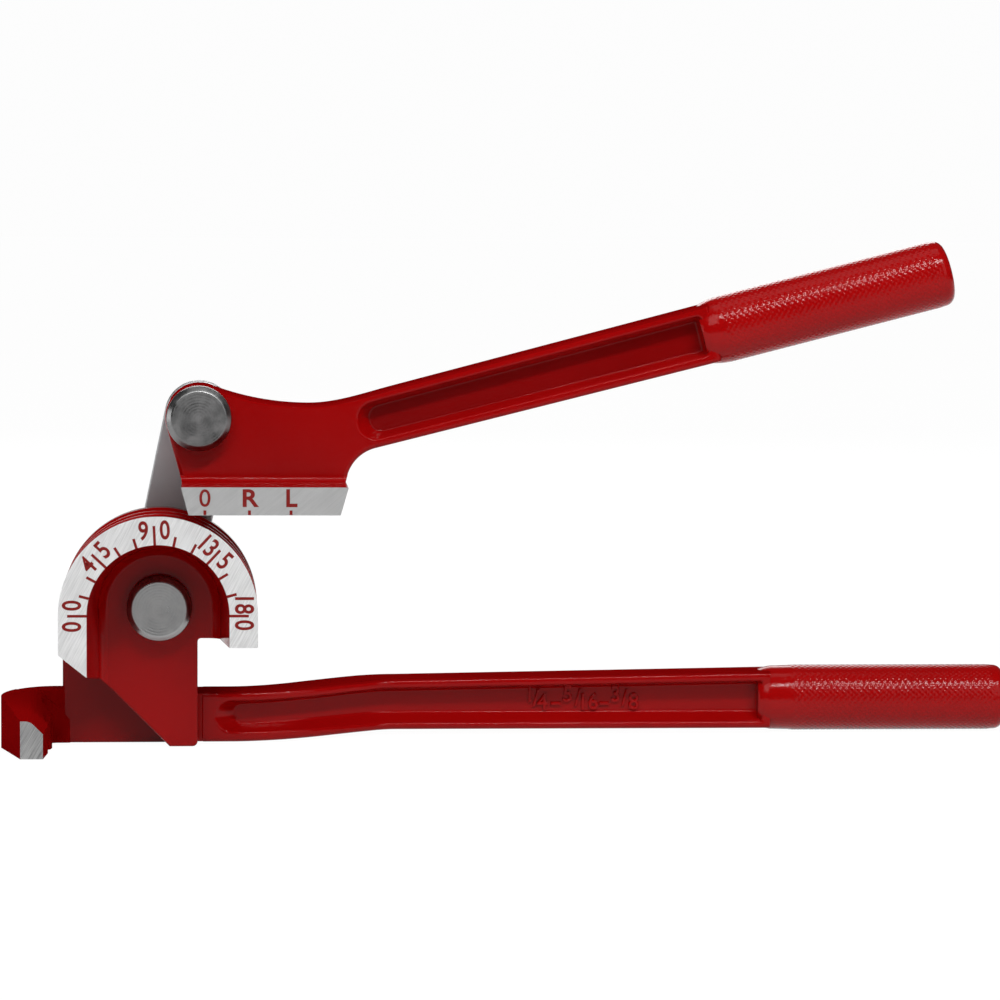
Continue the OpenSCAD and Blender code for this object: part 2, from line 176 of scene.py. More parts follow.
def verts_in(parts):
    """The vertices among the parts that an operator gives back."""
    return [part for part in parts if isinstance(part, bmesh.types.BMVert)]


def edges_in(parts):
    """The edges among the parts that an operator gives back."""
    return [part for part in parts if isinstance(part, bmesh.types.BMEdge)]


def arc_to(bm, pen, centre, axis, angle, steps):
    """Draws an arc of edges from a vertex and gives the last vertex."""
    arc = bmesh.ops.spin(bm, geom=[pen], cent=centre, axis=axis, angle=angle, steps=steps)
    return verts_in(arc["geom_last"])[0]


def round_edges(bm, edges, radius, segments=3, clamp=True):
    """Rounds the edges of a solid."""
    bmesh.ops.bevel(bm, geom=edges, offset=radius, offset_type="OFFSET", affect="EDGES",
                    segments=segments, profile=0.5, material=-1, clamp_overlap=clamp, loop_slide=False)


def round_corners(bm, corners, radius, segments=3):
    """Rounds the corners of an outline."""
    bmesh.ops.bevel(bm, geom=corners, offset=radius, offset_type="OFFSET", affect="VERTICES",
                    segments=segments, profile=0.5, material=-1, clamp_overlap=True)


def sharp_edges(bm, angle=35):
    """The edges where two faces meet at more than an angle."""
    return [e for e in bm.edges if len(e.link_faces) == 2 and e.calc_face_angle(0.0) > radians(angle)]


def draw_out(bm, way):
    """Fills a closed outline, draws it out to a solid and gives the far vertices."""
    face = bmesh.ops.edgeloop_fill(bm, edges=bm.edges[:])["faces"]
    grown = bmesh.ops.extrude_face_region(bm, geom=face)["geom"]
    far = verts_in(grown)
    bmesh.ops.translate(bm, verts=far, vec=way)
    bmesh.ops.recalc_face_normals(bm, faces=bm.faces)
    return far


def make_piece(bm, name, materials, body, nodes=()):
    """Makes a finished mesh, drawn in millimetres, a piece that rides on a body."""
    bmesh.ops.scale(bm, vec=(0.001, 0.001, 0.001), verts=bm.verts)
    for face in bm.faces:
        face.smooth = True
    for edge in sharp_edges(bm, angle=42):
        edge.smooth = False
    mesh = bpy.data.meshes.new(name)
    bm.to_mesh(mesh)
    bm.free()
    for material in materials:
        mesh.materials.append(material)
    piece = bpy.data.objects.new(name, mesh)
    bpy.context.scene.collection.objects.link(piece)
    evened = piece.modifiers.new("even_normals", "WEIGHTED_NORMAL")
    evened.keep_sharp = True
    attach(piece, body)
    if nodes:
        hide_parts(*nodes)


def bare_front(bm):
    """Grinds the faces in the front plane, which gives them the second material."""
    front = [v for v in bm.verts if v.co.y < dial_y + 0.02]
    for face in bm.faces:
        if all(v in front for v in face.verts):
            face.material_index = 1
    bmesh.ops.translate(bm, verts=front, vec=(0, grind_depth, 0))


def leg_end_z(x):
    """Height where the left leg and the web end, a slanting line down to the foot."""
    if x < -recess_r:
        return left_leg_z + (x + wheel_r) * (leg_tip_z - left_leg_z) / (wheel_r - recess_r)
    return foot_x - x


bm = bmesh.new()
first = bm.verts.new((-wheel_r, plate_front_y, axis_z))
pen = first
for groove_y, groove_r in tube_grooves:
    pen = line_to(bm, pen, (-wheel_r, groove_y + groove_r, axis_z))
    pen = arc_to(bm, pen, (-wheel_r, groove_y, axis_z), (0, 0, 1), -pi, steps=18)
tuck_y = web_y + 0.2
ring_back_y = plate_front_y + 2 * plate_lap
pen = line_to(bm, pen, (-wheel_r, dial_y, axis_z), (-recess_r, dial_y, axis_z),
              (-web_recess_r, tuck_y, axis_z), (ring_tuck - web_recess_r, tuck_y, axis_z),
              (ring_tuck - web_recess_r, ring_back_y, axis_z), (plate_lap - wheel_r, ring_back_y, axis_z))
bm.edges.new((pen, first))
bmesh.ops.remove_doubles(bm, verts=bm.verts, dist=1e-4)
round_corners(bm, [v for v in bm.verts if abs(v.co.x + web_recess_r) < 1e-3], radius=3.0, segments=7)
lands = [v for v in bm.verts if abs(v.co.x + wheel_r) < 1e-3 and dial_y + 0.1 < v.co.y < plate_front_y - 1]
round_corners(bm, lands, radius=0.22, segments=2)
left_edges = bm.edges[:]
right = bmesh.ops.spin(bm, geom=bm.verts[:] + bm.edges[:], cent=(0, 0, axis_z), axis=(0, 1, 0),
                       angle=pi, steps=72)
for side, edges in ((-1, left_edges), (1, edges_in(right["geom_last"]))):
    ends = verts_in(bmesh.ops.extrude_edge_only(bm, edges=edges)["geom"])
    for vertex in ends:
        vertex.co.z = leg_end_z(vertex.co.x) if side < 0 else right_leg_z
    rim = [e for e in bm.edges if len(e.link_faces) == 1 and all(v in ends for v in e.verts)]
    bmesh.ops.edgeloop_fill(bm, edges=rim)
    behind = [e for e in rim if max(v.co.y for v in e.verts) > dial_y + 0.1]
    round_edges(bm, behind, radius=0.3, segments=2)
bmesh.ops.recalc_face_normals(bm, faces=bm.faces)
bare_front(bm)
make_piece(bm, "wheel_ring", [red_enamel, ground_dial], "fixed_tool", ["forming_wheel"])

# The web fills the ring and runs down to the foot, which stands on the bench. It is one
# casting with the ring, and the same enamel covers both.
foot_right = 9.3
bm = bmesh.new()
first = bm.verts.new((-web_r, web_y, axis_z))
pen = arc_to(bm, first, (0, web_y, axis_z), (0, 1, 0), pi, steps=24)
pen = line_to(bm, pen, (web_r, web_y, right_leg_z), (foot_right, web_y, right_leg_z),
              (foot_right, web_y, 0), (foot_x, web_y, 0), (-recess_r, web_y, leg_tip_z),
              (-web_r, web_y, leg_end_z(-web_r)))
bm.edges.new((pen, first))
draw_out(bm, (0, plate_front_y + plate_lap - web_y, 0))
right_side = [e for e in bm.edges if all(abs(v.co.x - foot_right) < 1e-3 for v in e.verts)]
corner = [e for e in right_side if all(v.co.z < 1e-3 for v in e.verts)]
notch = [e for e in right_side if all(abs(v.co.z - right_leg_z) < 1e-3 for v in e.verts)]
round_edges(bm, corner, radius=1.2, segments=4)
round_edges(bm, notch, radius=0.8)
front_edges = [e for e in sharp_edges(bm) if all(v.co.y < web_y + 0.01 for v in e.verts)]
round_edges(bm, front_edges, radius=0.55)
make_piece(bm, "wheel_web", [red_enamel], "fixed_tool")

# The back plate closes the wheel behind its largest groove. Its enamel is painted darker
# as shade, as on the floors of the moving arm's pockets.
painted_shade_enamel = red_enamel_material("painted_shade_enamel", deep=0.19, thin=0.25, rough=0.09, shine=0.11)
bm = bmesh.new()
first = bm.verts.new((-wheel_r, plate_front_y, axis_z))
pen = arc_to(bm, first, (0, plate_front_y, axis_z), (0, 1, 0), pi, steps=72)
pen = line_to(bm, pen, (wheel_r, plate_front_y, right_leg_z), (foot_right, plate_front_y, right_leg_z),
              (foot_right, plate_front_y, 0), (-wheel_r, plate_front_y, 0))
bm.edges.new((pen, first))
draw_out(bm, (0, plate_back_y - plate_front_y, 0))
around = [e for e in sharp_edges(bm) if abs(e.verts[0].co.y - e.verts[1].co.y) < 0.1]
round_edges(bm, around, radius=0.6)
make_piece(bm, "back_plate_cast", [painted_shade_enamel], "fixed_tool", ["back_plate"])


# The tube hook grows from the plate's left edge, bends round to the front and holds
# the tube against the wheel's left leg. Its tip is ground bare with the dial, and the
# enamel on it is dull and painted darker as shade, as on top of both bars.
dull_painted_shade_enamel = red_enamel_material("dull_painted_shade_enamel", deep=0.20, thin=0.26, rough=0.09, shine=0.0)
hook_foot_x = -22.0
hook_bend_x = -25.4
hook_bend_r = 13.0
hook_tip_x = -27.4
hook_tip_w = 5.4
hook_root_x = -25.3
hook_tip_h = 9.1
hook_bend_h = 12.8
hook_lead = 3.1
fall = (hook_bend_h - hook_tip_h) / (plate_back_y - hook_bend_r - dial_y)
back_fall = 0.062
inner_slope = (hook_root_x - hook_tip_x) / (plate_front_y - dial_y)
top_cut = ((0, dial_y, hook_tip_h), Vector((0, -fall, 1)))
bend_cut = ((0, plate_back_y - hook_bend_r, hook_bend_h), Vector((0, -back_fall, 1)))
lead_cut = ((hook_tip_x - hook_lead, dial_y, hook_tip_h), Vector((1, -fall, 1)))
arm_cut = ((0, plate_front_y + 0.02, 0), Vector((0, -1, 0)))
finger_cut = ((0, plate_front_y + 0.06, 0), Vector((0, 1, 0)))


def cut_along(bm, place, normal, clear=False):
    """Cuts the mesh along a plane, clears the outer side if asked, and gives the new edges."""
    cut = bmesh.ops.bisect_plane(bm, geom=bm.verts[:] + bm.edges[:] + bm.faces[:], plane_co=place,
                                 plane_no=normal, clear_outer=clear)
    return edges_in(cut["geom_cut"])


def hook_solid(*cuts):
    """The hook's plan raised to a block, then cut by planes."""
    bm = bmesh.new()
    first = bm.verts.new((hook_foot_x, plate_back_y, 0))
    pen = line_to(bm, first, (hook_bend_x, plate_back_y, 0))
    pen = arc_to(bm, pen, (hook_bend_x, plate_back_y - hook_bend_r, 0), (0, 0, 1), pi / 2, steps=12)
    pen = line_to(bm, pen, (hook_tip_x - hook_tip_w, dial_y, 0), (hook_tip_x, dial_y, 0))
    for groove_y, groove_r in reversed(tube_grooves[:2]):
        # A seat is the part of the tube's circle that lies behind the inner face
        reach = hook_tip_x + (groove_y - dial_y) * inner_slope + wheel_r
        half = sqrt(groove_r ** 2 - reach ** 2)
        start = Vector((reach - half * inner_slope, -half))
        end = Vector((reach + half * inner_slope, min(half, plate_front_y - groove_y - 0.05)))
        turn = atan2(end.y, end.x) % (2 * pi) - atan2(start.y, start.x) % (2 * pi)
        pen = line_to(bm, pen, (start.x - wheel_r, groove_y + start.y, 0))
        pen = arc_to(bm, pen, (-wheel_r, groove_y, 0), (0, 0, 1), turn, steps=10)
    pen = line_to(bm, pen, (hook_foot_x, plate_front_y, 0))
    bm.edges.new((pen, first))
    draw_out(bm, (0, 0, 2 * hook_bend_h))
    for place, normal in cuts:
        rim = cut_along(bm, place, normal, clear=True)
        bmesh.ops.edgeloop_fill(bm, edges=rim)
    bmesh.ops.recalc_face_normals(bm, faces=bm.faces)
    lead_edge = [e for e in bm.edges if all(abs(v.co.x - hook_tip_x + hook_lead) < 0.01 for v in e.verts)]
    round_edges(bm, [e for e in lead_edge if e.calc_length() > 5], radius=1.1, segments=4)
    ground = [e for e in bm.edges if all(v.co.y < dial_y + 0.01 for v in e.verts)]
    round_edges(bm, [e for e in sharp_edges(bm, angle=30) if e not in ground], radius=0.4)
    bmesh.ops.recalc_face_normals(bm, faces=bm.faces)
    return bm


bm = hook_solid(arm_cut, bend_cut)
make_piece(bm, "tube_hook_arm", [dull_painted_shade_enamel], "fixed_tool", ["tube_hook"])
bm = hook_solid(finger_cut, bend_cut, top_cut, lead_cut)
bare_front(bm)
make_piece(bm, "tube_hook_finger", [dull_painted_shade_enamel, ground_tip], "fixed_tool")


# The fixed bar is the lower handle, cast with a long pocket at the front and the back
# so that it has the section of a beam. It cranks back to let the other handle pass.
bar_left = -10.7
bar_right = 153.5
bar_t = 13.0
bar_root_h = 12.4
bar_crank_h = 12.7
bar_end_h = 14.3
bar_lift = 1.15
grip_x = 152.0
crank_start = 17.0
crank_depth = 13.0
crank_angle = radians(25.6)
crank_first_r = 46.5
crank_second_r = 19.2
rail_w = 2.1
pocket_left = 13.5
pocket_right = 151.5
pocket_depth = 4.2
pocket_draft = 1.2
pocket_end_draft = 4.7
grip_end_draft = 0.5
pocket_round = 3.9
floor_round = 2.2
round_fade = 16.0
# Heights at the root and at the crank's end: the lower rail, and the wall above it
low_rail_root, low_rail_end = 2.5, 1.6
low_wall_root, low_wall_end = 1.5, 2.3
top_wall = 1.1
# The mesh is a grid that is close in the crank, where the bar bends
grid_half = 6.0
grid_levels = (rail_w, 2.2, 2.4, 2.7, 3.0, rail_w + pocket_draft, 3.7, 4.2, 4.8, 5.4, grid_half)
draft_steps, fine_steps, coarse_steps = 6, 60, 20
fine_step = 0.75
coarse_step = 4.0
coarse_left = 64.0
# Depth under the bar's top to which its enamel is dull and painted darker as shade
top_band = 1.6
bar_mid_y = plate_front_y + bar_t / 2
ramp_x = crank_start + crank_first_r * sin(crank_angle)
ramp_length = (crank_depth - (crank_first_r + crank_second_r) * (1 - cos(crank_angle))) / sin(crank_angle)
crank_end = ramp_x + ramp_length * cos(crank_angle) + crank_second_r * sin(crank_angle)


def smooth(t):
    """A soft run from 0 to 1."""
    t = min(max(t, 0.0), 1.0)
    return t * t * (3 - 2 * t)


def crank_place(x):
    """Depth of the bar's middle and the slope of its path at a distance along it."""
    if x < crank_start:
        return bar_mid_y, 0.0
    if x < ramp_x:
        turn = (x - crank_start) / crank_first_r
        angle = atan2(turn, sqrt(1 - turn * turn))
        return bar_mid_y + crank_first_r * (1 - cos(angle)), angle
    ramp_end_x = ramp_x + ramp_length * cos(crank_angle)
    if x < ramp_end_x:
        start_y = bar_mid_y + crank_first_r * (1 - cos(crank_angle))
        return start_y + (x - ramp_x) * tan(crank_angle), crank_angle
    if x < crank_end:
        turn = (crank_end - x) / crank_second_r
        angle = atan2(turn, sqrt(1 - turn * turn))
        return bar_mid_y + crank_depth - crank_second_r * (1 - cos(angle)), angle
    return bar_mid_y + crank_depth, 0.0


def bar_edges_z(x):
    """Heights of the bar's underside and top."""
    run = smooth((x - crank_start) / (crank_end - crank_start))
    if x < crank_end:
        height = bar_root_h + (bar_crank_h - bar_root_h) * run
    else:
        height = bar_crank_h + (bar_end_h - bar_crank_h) * (x - crank_end) / (grip_x - crank_end)
    return bar_lift * run, bar_lift * run + height


def rib_height(level, rail, wall, floor):
    """Distance from the bar's edge at a level of the grid: rail, then wall, then floor."""
    if level < rail_w:
        return level * rail / rail_w
    if level < rail_w + pocket_draft:
        return rail + (level - rail_w) * wall / pocket_draft
    return rail + wall + (level - rail_w - pocket_draft) * floor / (grid_half - rail_w - pocket_draft)


bm = bmesh.new()
bmesh.ops.create_cube(bm, size=1.0)
bar_start = foot_right + 1.0
bmesh.ops.scale(bm, vec=(bar_right - bar_start, bar_t, 2 * grid_half), verts=bm.verts)
bmesh.ops.translate(bm, vec=((bar_right + bar_start) / 2, 0, grid_half), verts=bm.verts)
floor_left = pocket_left + pocket_end_draft
floor_right = pocket_right - grip_end_draft
stops = [pocket_left + pocket_end_draft * i / draft_steps for i in range(draft_steps + 1)]
stops += [floor_right, pocket_right]
stops += [floor_left + fine_step * i for i in range(1, fine_steps + 1)]
stops += [coarse_left + coarse_step * i for i in range(coarse_steps + 1)]
for stop in stops:
    cut_along(bm, (stop, 0, 0), (1, 0, 0))
for height in sorted({h for level in grid_levels for h in (level, 2 * grid_half - level)}):
    cut_along(bm, (0, 0, height), (0, 0, 1))
in_pocket = {}
for vertex in bm.verts:
    x, level = vertex.co.x, min(vertex.co.z, 2 * grid_half - vertex.co.z)
    low, high = bar_edges_z(x)
    run = smooth((x - pocket_left) / (crank_end - pocket_left))
    low_rail = low_rail_root + (low_rail_end - low_rail_root) * run
    low_wall = low_wall_root + (low_wall_end - low_wall_root) * run
    floor = (high - low - low_rail - low_wall - rail_w - top_wall) / 2
    if vertex.co.z < grid_half:
        vertex.co.z = low + rib_height(level, low_rail, low_wall, floor)
    else:
        vertex.co.z = high - rib_height(level, rail_w, top_wall, floor)
    if level > rail_w - 0.01 and pocket_left - 0.01 < x < pocket_right + 0.01:
        sunk = min((level - rail_w) / pocket_draft, (x - pocket_left) / pocket_end_draft,
                   (pocket_right - x) / grip_end_draft)
        sunk = min(1.0, max(0.0, sunk))
        # The root end is half round at every depth
        half = grid_half - rail_w - sunk * pocket_draft
        over = min(1.0, (grid_half - level) / half)
        near = 1 - smooth((x - pocket_left) / round_fade)
        end_round = pocket_round + (floor_round - pocket_round) * sunk
        vertex.co.x += near * end_round * (1 - sqrt(1 - over ** 2))
        vertex.co.y *= 1 - 2 * pocket_depth * sunk / bar_t
        in_pocket[vertex] = sunk
bm.normal_update()
creases = [e for e in sharp_edges(bm, angle=30) if all(v in in_pocket for v in e.verts)]
rims = [e for e in creases if all(in_pocket[v] < 0.01 for v in e.verts)
        or all(in_pocket[v] > 0.99 for v in e.verts)]
round_edges(bm, rims, radius=0.45, clamp=False)
long_edges = [e for e in sharp_edges(bm) if all(abs(abs(v.co.y) - bar_t / 2) < 0.01 for v in e.verts)
              and abs(e.verts[0].co.x - e.verts[1].co.x) > 0.1
              and all(min(abs(v.co.z - z) for z in bar_edges_z(v.co.x)) < 0.01 for v in e.verts)]
round_edges(bm, long_edges, radius=1.5, segments=5)
root_edges = [e for e in sharp_edges(bm) if all(v.co.x < bar_start + 0.01 for v in e.verts)]
round_edges(bm, root_edges, radius=0.4)
for vertex in bm.verts:
    y, angle = crank_place(vertex.co.x)
    offset = vertex.co.y
    vertex.co.y = y + offset * cos(angle)
    vertex.co.x -= offset * sin(angle)
bmesh.ops.recalc_face_normals(bm, faces=bm.faces)
# On top the enamel is dull and painted darker as shade, as on the hook
for face in bm.faces:
    middle = face.calc_center_median()
    if face.normal.z > 0.5 and middle.z > max(bar_edges_z(middle.x)) - top_band:
        face.material_index = 1
make_piece(bm, "fixed_bar_cast", [red_enamel, dull_painted_shade_enamel], "fixed_tool", ["fixed_bar"])

# The bar's root is a shade smaller than the bar. It fills the step to the foot, and runs on
# behind the plate as a wedge.
root_inset = 0.12
root_lap = 2.0
wedge_in, wedge_out = 1.0, 0.1
root_y = plate_front_y + 0.2
root_back_y = plate_front_y + bar_t - root_inset
bm = bmesh.new()
first = bm.verts.new((bar_left, plate_back_y - wedge_in, root_inset))
pen = line_to(bm, first, (bar_left, plate_back_y + wedge_out, root_inset),
              (foot_right, root_back_y, root_inset), (bar_start + root_lap, root_back_y, root_inset),
              (bar_start + root_lap, root_y, root_inset), (foot_right - root_lap, root_y, root_inset))
bm.edges.new((pen, first))
draw_out(bm, (0, 0, bar_root_h - 2 * root_inset))
round_edges(bm, sharp_edges(bm, angle=15), radius=0.8)
# Its top is dull and painted darker as shade, as on the bar
for face in bm.faces:
    face.material_index = int(face.normal.z > 0.5)
make_piece(bm, "bar_root", [red_enamel, dull_painted_shade_enamel], "fixed_tool")


# The grips are round ends cast on both bars and rolled with a fine diamond knurl, which
# the enamel softens. A short plain shoulder leads from the bar.
grip_r = 8.3
grip_length = 62.0
grip_edge_r = 2.4
grip_lap = 1.5
# Distance along the grip and radius, from inside the bar to the end of the shoulder
shoulder = ((-grip_lap, 6.6), (-0.8, 7.2), (0.5, 7.7), (2.2, 8.05))
knurl_end = 59.4
knurl_pitch = 1.52
knurl_round = 34
knurl_height = 0.15
knurl_cuts = 6


def grip_mesh(knurl_start):
    """A grip along X from the origin, with its knurl from a distance on."""
    knurl_rows = round((knurl_end - knurl_start) / knurl_pitch)
    base_r = grip_r - knurl_height
    edge_x = grip_length - grip_edge_r
    bm = bmesh.new()
    first = bm.verts.new((-grip_lap, 0, 0))
    pen = line_to(bm, first, *((x, 0, radius) for x, radius in shoulder))
    pen = line_to(bm, pen, (knurl_start, 0, base_r), (knurl_end, 0, base_r), (edge_x, 0, base_r))
    pen = arc_to(bm, pen, (edge_x, 0, base_r - grip_edge_r), (0, 1, 0), pi / 2, steps=6)
    line_to(bm, pen, (grip_length, 0, 0))
    knurled = [e for e in bm.edges if abs(e.calc_length() - (knurl_end - knurl_start)) < 1e-3]
    bmesh.ops.subdivide_edges(bm, edges=knurled, cuts=knurl_rows * knurl_cuts - 1)
    bmesh.ops.spin(bm, geom=bm.verts[:] + bm.edges[:], cent=(0, 0, 0), axis=(1, 0, 0), angle=2 * pi,
                   steps=knurl_round * knurl_cuts, use_merge=True)
    bmesh.ops.remove_doubles(bm, verts=bm.verts, dist=1e-4)
    bmesh.ops.recalc_face_normals(bm, faces=bm.faces)
    pitch = (knurl_end - knurl_start) / knurl_rows
    for vertex in bm.verts:
        if knurl_start - 0.01 < vertex.co.x < knurl_end + 0.01:
            along = (vertex.co.x - knurl_start) / pitch
            around = atan2(vertex.co.z, vertex.co.y) / (2 * pi) * knurl_round
            ridge = min(1 - abs(2 * ((along + side * around) % 1.0) - 1) for side in (-1, 1))
            fade = min(1.0, (vertex.co.x - knurl_start) / pitch, (knurl_end - vertex.co.x) / pitch)
            factor = 1 + knurl_height * max(0.0, fade) * ridge / grip_r
            vertex.co.y *= factor
            vertex.co.z *= factor
    return bm


# The grips' enamel is painted a little lighter than the bars', as painted light
grip_lit_enamel = red_enamel_material("grip_lit_enamel", deep=0.31, thin=0.37, rough=0.22, shine=0.16)
grip_y = bar_mid_y + crank_depth
bm = grip_mesh(knurl_start=6.4)
bmesh.ops.translate(bm, verts=bm.verts, vec=(grip_x, grip_y, grip_r))
make_piece(bm, "fixed_grip_knurled", [grip_lit_enamel], "fixed_tool", ["fixed_grip"])

# The moving handle's grip has the same form, on the line of the upper arm. Its knurl starts
# nearer to the bar.
shoe_pin_x = 9.572
shoe_pin_z = 80.519
arm_lean = radians(14.6)
arm_offset = 11.3
arm_end = 126.0
arm_mid_y = (web_y + plate_back_y) / 2
bm = grip_mesh(knurl_start=3.0)
bmesh.ops.translate(bm, verts=bm.verts, vec=(arm_end, 0, -arm_offset))
bmesh.ops.rotate(bm, verts=bm.verts, cent=(0, 0, 0), matrix=Matrix.Rotation(-arm_lean, 3, "Y"))
bmesh.ops.translate(bm, verts=bm.verts, vec=(shoe_pin_x, arm_mid_y, shoe_pin_z))
make_piece(bm, "moving_grip_knurled", [grip_lit_enamel], "moving_lever", ["moving_grip"])


# The moving arm is the second casting: a flat neck round the shoe pin, a saddle over it,
# and a bar with the same pockets as the lower one. It is dipped in the same enamel.
boss_r = 8.2
saddle = Vector((26.9, 3.3))
saddle_start = radians(20.7)
strip_z = -15.4
neck_lean = radians(15.6)
strip_left = -boss_r / cos(neck_lean) - strip_z * tan(neck_lean)
shoe_reach = 35.8
heel_lean = radians(16)
heel_r = 9.5
arm_root = 47.8
arm_root_half = 6.7
arm_end_half = 7.2
arm_pocket_left = 37.0
arm_pocket_right = 125.2
arm_end_slope = 1.8
arm_top_band = 2.0
# Corner radii of the pockets at the neck, and how far along the arm the corners reach
front_neck_r = 4.3
back_neck_r = 2.6
neck_reach = 4.4
shoe_back_y = plate_front_y - 0.35
relief_w = 7.4
relief_h = 10.5
relief_x = shoe_pin_x + shoe_reach - relief_w
relief_z = shoe_pin_z + strip_z + relief_h
relief_wall = 1.3
arm_along = Vector((cos(arm_lean), sin(arm_lean)))
arm_across = Vector((-sin(arm_lean), cos(arm_lean)))


def arm_point(along, across):
    """A point of the arm in the picture plane, from the shoe pin."""
    return along * arm_along + (across - arm_offset) * arm_across


def curve_points(start, end, start_slope, end_slope, steps):
    """Points of a smooth run between two points with given slopes."""
    run = end.x - start.x
    points = []
    for i in range(steps + 1):
        t = i / steps
        u = 1 - t
        points.append(Vector((start.x + t * run, start.y * u * u * (1 + 2 * t) + end.y * t * t * (3 - 2 * t)
                              + run * t * u * (u * start_slope - t * end_slope))))
    return points


def at_pin(point, y):
    """A point of the arm, given from the shoe pin, at a depth."""
    return (shoe_pin_x + point.x, y, shoe_pin_z + point.y)


half_slope = (arm_end_half - arm_root_half) / (arm_end - arm_root)
top_slope = tan(arm_lean + half_slope)
under_lean = arm_lean - half_slope
under_root = arm_point(arm_root, -arm_root_half)
under_normal = Vector((-sin(under_lean), cos(under_lean)))
heel_foot = Vector((shoe_reach, strip_z))
heel_line = Vector((sin(heel_lean), cos(heel_lean)))
heel_normal = Vector((cos(heel_lean), -sin(heel_lean)))
heel_gap = (heel_foot + heel_r * heel_normal - under_root).dot(under_normal)
heel_run = (-heel_r - heel_gap) / heel_line.dot(under_normal)
heel_centre = heel_foot + heel_run * heel_line + heel_r * heel_normal
boss_top = boss_r * Vector((sin(saddle_start), cos(saddle_start)))
outline = curve_points(boss_top, saddle, -tan(saddle_start), 0.0, steps=14)
outline += curve_points(saddle, arm_point(arm_root, arm_root_half), 0.0, top_slope, steps=14)[1:]
outline += [arm_point(arm_end + grip_lap, arm_end_half), arm_point(arm_end + grip_lap, -arm_end_half)]
outline.append(under_root)
bm = bmesh.new()
first = bm.verts.new(at_pin(outline[0], web_y))
pen = line_to(bm, first, *(at_pin(point, web_y) for point in outline[1:]))
pen = line_to(bm, pen, at_pin(heel_centre + heel_r * under_normal, web_y))
pen = arc_to(bm, pen, at_pin(heel_centre, web_y), (0, 1, 0), -(pi / 2 - heel_lean - under_lean), steps=12)
pen = line_to(bm, pen, at_pin(heel_foot, web_y), at_pin(Vector((strip_left, strip_z)), web_y),
              at_pin(-boss_r * Vector((cos(neck_lean), sin(neck_lean))), web_y))
boss_turn = pi / 2 + neck_lean + saddle_start
pen = arc_to(bm, pen, (shoe_pin_x, web_y, shoe_pin_z), (0, 1, 0), boss_turn, steps=24)
bmesh.ops.remove_doubles(bm, verts=bm.verts, dist=0.02)
draw_out(bm, (0, shoe_back_y - web_y, 0))
# Behind the heel the back stays open, so that the arm passes the fixed bar at a full bend
for place, normal in (((relief_x, 0, 0), (1, 0, 0)), ((0, 0, relief_z), (0, 0, 1))):
    back = [f for f in bm.faces if all(abs(v.co.y - shoe_back_y) < 1e-3 for v in f.verts)]
    cut = [f for f in back if max(v.co.x for v in f.verts) > relief_x + 1]
    cut_edges = [e for e in bm.edges if any(f in cut for f in e.link_faces)]
    cut_corners = [v for v in bm.verts if any(f in cut for f in v.link_faces)]
    bmesh.ops.bisect_plane(bm, geom=cut + cut_edges + cut_corners, plane_co=place, plane_no=normal)
back = [f for f in bm.faces if all(abs(v.co.y - shoe_back_y) < 1e-3 for v in f.verts)]
back = [f for f in back if max(v.co.z for v in f.verts) > relief_z + 1]
moved = verts_in(bmesh.ops.extrude_face_region(bm, geom=back)["geom"])
bmesh.ops.delete(bm, geom=back, context="FACES")
bmesh.ops.translate(bm, verts=moved, vec=(0, plate_back_y - shoe_back_y, 0))
bmesh.ops.recalc_face_normals(bm, faces=bm.faces)
seams = [e for e in bm.edges if all(v in moved for v in e.verts) and e.calc_face_angle(1.0) < 1e-3]
bmesh.ops.dissolve_edges(bm, edges=seams)
outer = [e for e in sharp_edges(bm) if abs(e.verts[0].co.y - e.verts[1].co.y) < 0.1
         and abs(e.verts[0].co.y - shoe_back_y) > 0.1]
outer = [e for e in outer if any(abs(v.co.x - relief_x) > 0.01 for v in e.verts)
         and any(abs(v.co.z - relief_z) > 0.01 for v in e.verts)]
round_edges(bm, outer, radius=1.1, segments=4, clamp=False)
corners = [(arm_pocket_left, arm_root_half - rail_w), (arm_pocket_right, arm_end_half - rail_w),
           (arm_pocket_right, rail_w - arm_end_half), (arm_pocket_left, rail_w - arm_root_half)]
pockets = []
for flat in [f for f in bm.faces if len(f.verts) > 40]:
    # Only the two flat sides have so many corners. Each is opened, and filled again round
    # the pocket's mouth
    y, facing, border = flat.verts[0].co.y, flat.normal.copy(), list(flat.edges)
    bmesh.ops.delete(bm, geom=[flat], context="FACES_ONLY")
    others = set(bm.faces)
    points = [Vector(at_pin(arm_point(*corner), y)) for corner in corners]
    if facing.y > 0:
        # Behind, a thin wall along the relief cuts off the pocket's lower corner
        low = points.pop()
        for end in (points[2], points[0]):
            points.append(low.lerp(end, (relief_z + relief_wall - low.z) / (end.z - low.z)))
    mouth = [bm.verts.new(point) for point in points]
    bm.faces.new(mouth)
    neck_r = front_neck_r if facing.y < 0 else back_neck_r
    round_corners(bm, [mouth[0], mouth[-1]], radius=neck_r, segments=9)
    round_corners(bm, mouth[1:3], radius=1.5, segments=4)
    pocket = [f for f in bm.faces if f not in others][0]
    border += list(pocket.edges)
    filled = bmesh.ops.triangle_fill(bm, edges=border, use_beauty=True, normal=facing)["geom"]
    joins = [e for e in edges_in(filled) if e not in border]
    bmesh.ops.dissolve_limit(bm, angle_limit=0.01, verts=[], edges=joins)
    pockets.append(pocket)
bmesh.ops.recalc_face_normals(bm, faces=bm.faces)
rims = []
